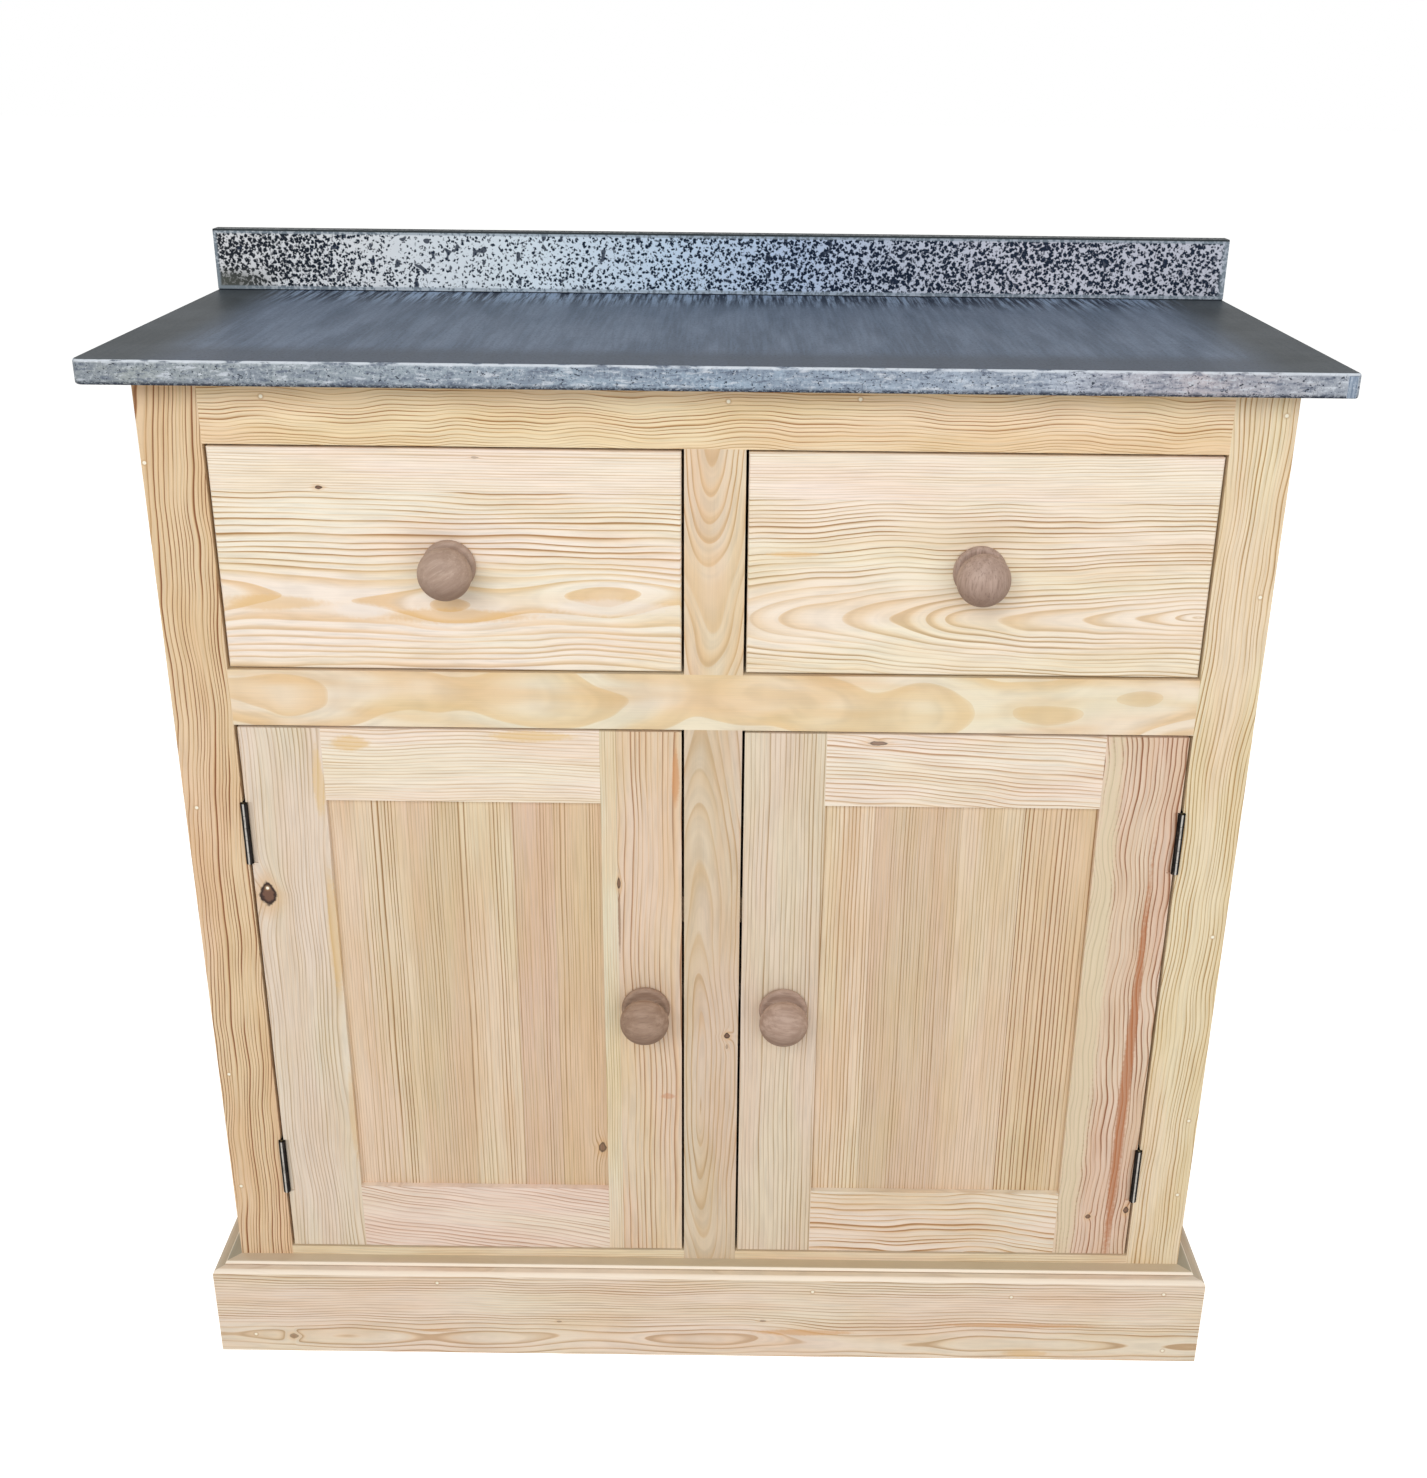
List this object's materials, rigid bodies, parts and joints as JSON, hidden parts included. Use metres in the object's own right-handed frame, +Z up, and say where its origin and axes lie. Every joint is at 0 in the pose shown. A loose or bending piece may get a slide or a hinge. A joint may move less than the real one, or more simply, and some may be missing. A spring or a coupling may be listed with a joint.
{
  "type": "side cupboard",
  "caption": "Pine side cupboard with a zinc-covered worktop and low upstand, dovetailed drawers above framed and panelled doors, turned knobs and a moulded plinth.",
  "frame": {"origin": "on the ground, at the middle of the cupboard's outline seen from above, knobs and worktop included", "axes": "+X to the right along the width as seen from the front, +Y back from the drawers and doors towards the wall, +Z up"},
  "size_m": [1.072, 0.457, 1.1233],
  "materials": {
    "pine_frame": "planed, unfinished",
    "pine_side": "planed, unfinished",
    "pine_door": "planed, unfinished",
    "pine_panel": "planed, unfinished",
    "pine_drawer_front": "planed, unfinished",
    "pine_drawer_box": "planed, unfinished",
    "pine_plinth": "planed, unfinished",
    "pine_inside": "planed, unfinished",
    "knob_wood": "turned and waxed, satin",
    "zinc": "mottled patina, satin",
    "hinge_steel": "dull",
    "screw_steel": "satin"
  },
  "bodies": {
    "carcase": {"side_left": "pine_side", "side_right": "pine_side", "back_boards": "pine_inside", "base_board": "pine_inside", "shelf": "pine_inside", "stile_left": "pine_frame", "stile_right": "pine_frame", "top_rail": "pine_frame", "mid_rail": "pine_frame", "bottom_rail": "pine_frame", "upper_muntin": "pine_frame", "lower_muntin": "pine_frame", "top_rear_rail": "pine_inside", "drawer_bearer": "pine_inside", "mid_rear_rail": "pine_inside", "drawer_runners": "pine_inside", "drawer_kickers": "pine_inside", "drawer_stops": "pine_inside", "worktop_board": "pine_inside", "worktop_zinc": "zinc", "upstand_board": "pine_inside", "upstand_zinc": "zinc", "carcase_screws": "screw_steel", "plinth_front": "pine_plinth", "plinth_left": "pine_plinth", "plinth_right": "pine_plinth", "frame_hinge_leaves": "hinge_steel", "hinge_pins": "hinge_steel", "door_stop": "pine_inside", "catch_magnets": "screw_steel"},
    "door_left": {"door_left_hinge_stile": "pine_door", "door_left_meeting_stile": "pine_door", "door_left_top_rail": "pine_door", "door_left_bottom_rail": "pine_door", "door_left_panel": "pine_panel", "door_left_knob": "knob_wood", "door_left_hinge_leaves": "hinge_steel", "door_left_hinge_screws": "screw_steel", "door_left_catch_plate": "screw_steel"},
    "door_right": {"door_right_hinge_stile": "pine_door", "door_right_meeting_stile": "pine_door", "door_right_top_rail": "pine_door", "door_right_bottom_rail": "pine_door", "door_right_panel": "pine_panel", "door_right_knob": "knob_wood", "door_right_hinge_leaves": "hinge_steel", "door_right_hinge_screws": "screw_steel", "door_right_catch_plate": "screw_steel"},
    "drawer_left": {"drawer_left_front": "pine_drawer_front", "drawer_left_outer_side": "pine_drawer_box", "drawer_left_inner_side": "pine_drawer_box", "drawer_left_back": "pine_drawer_box", "drawer_left_bottom": "pine_drawer_box", "drawer_left_knob": "knob_wood"},
    "drawer_right": {"drawer_right_front": "pine_drawer_front", "drawer_right_outer_side": "pine_drawer_box", "drawer_right_inner_side": "pine_drawer_box", "drawer_right_back": "pine_drawer_box", "drawer_right_bottom": "pine_drawer_box", "drawer_right_knob": "knob_wood"}
  },
  "joints": [
    {"name": "door_left_hinge", "type": "hinge", "parent": "carcase", "child": "door_left", "pos_m": [-0.4435, -0.1825, 0.42025], "axis": [0, 0, -1], "range_deg": [0, 180]},
    {"name": "door_right_hinge", "type": "hinge", "parent": "carcase", "child": "door_right", "pos_m": [0.4435, -0.1825, 0.42025], "axis": [0, 0, 1], "range_deg": [0, 180]},
    {"name": "drawer_left_slide", "type": "slide", "parent": "carcase", "child": "drawer_left", "axis": [0, -1, 0], "range_m": [0, 0.28]},
    {"name": "drawer_right_slide", "type": "slide", "parent": "carcase", "child": "drawer_right", "axis": [0, -1, 0], "range_m": [0, 0.28]}
  ]
}
